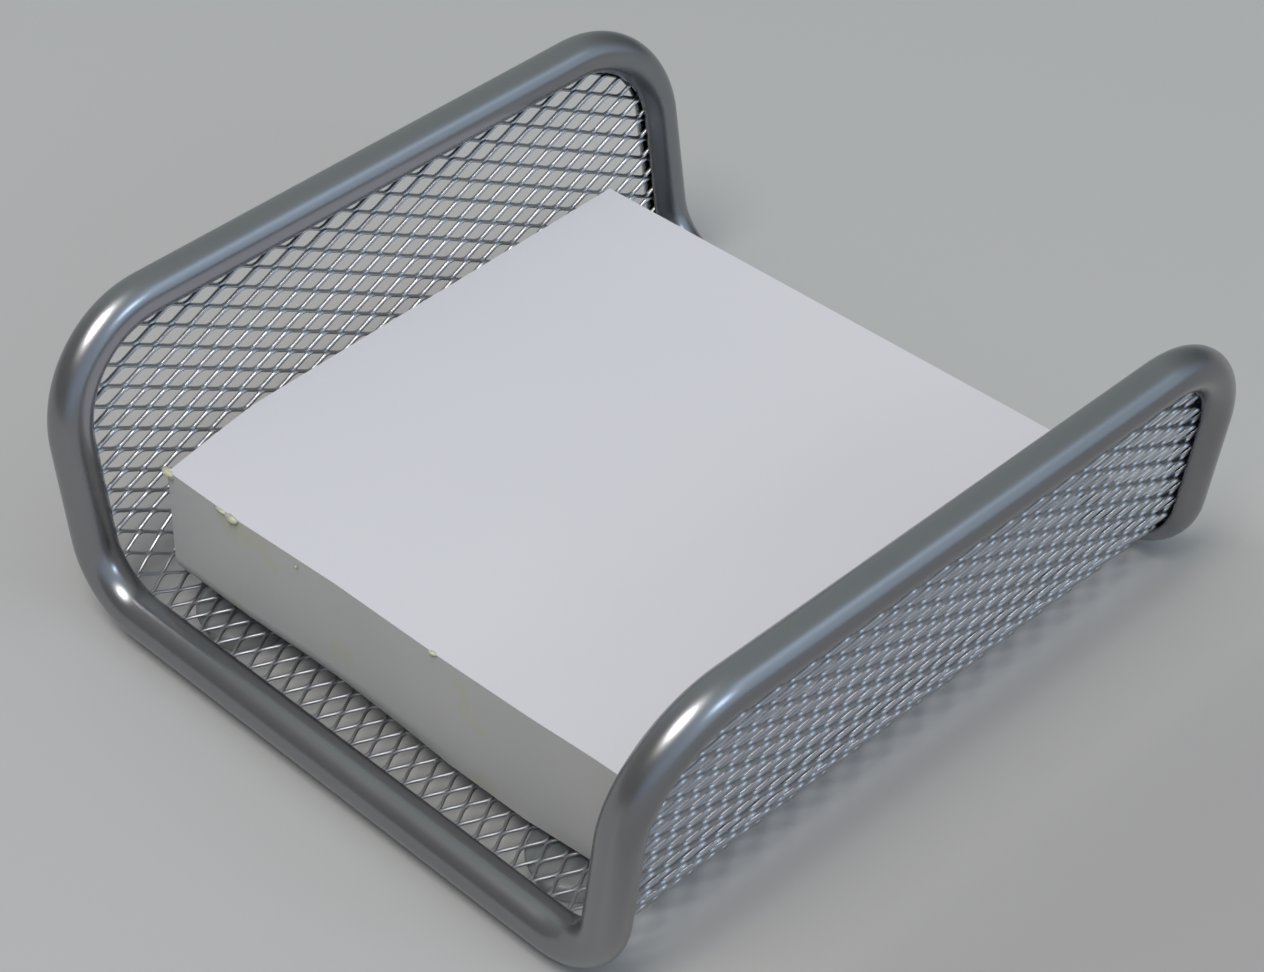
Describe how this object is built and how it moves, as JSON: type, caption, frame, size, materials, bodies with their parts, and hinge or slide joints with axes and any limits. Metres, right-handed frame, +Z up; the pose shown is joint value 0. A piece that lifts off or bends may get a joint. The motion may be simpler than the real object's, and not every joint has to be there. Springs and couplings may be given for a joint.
{
  "type": "mesh note holder",
  "caption": "Desk tray for note paper: a folded sheet of silver wire-like metal mesh, its edge held in a closed tube loop, open front and back, on clear feet, with a block of white paper in it.",
  "frame": {"origin": "middle of the footprint, at the level of the table that the feet stand on", "axes": "+X to the right, from wall to wall; +Y to the back, along the walls; +Z up. The glued side of the paper faces -Y"},
  "size_m": [0.1156, 0.1192, 0.0473],
  "materials": {
    "rim_paint": "satin silver paint on bent steel tube",
    "mesh_paint": "satin silver paint on expanded steel sheet",
    "clear_foot": "clear, smooth, soft plastic bumper",
    "paper": null,
    "glue": "thin greyish padding glue that holds the sheets together at the front"
  },
  "bodies": {
    "root": {"rim_tube": "rim_paint", "mesh_tray": "mesh_paint", "foot_front_left": "clear_foot", "foot_front_right": "clear_foot", "foot_back_left": "clear_foot", "foot_back_right": "clear_foot", "note_block": "paper", "glue_binding": "glue"}
  },
  "joints": []
}
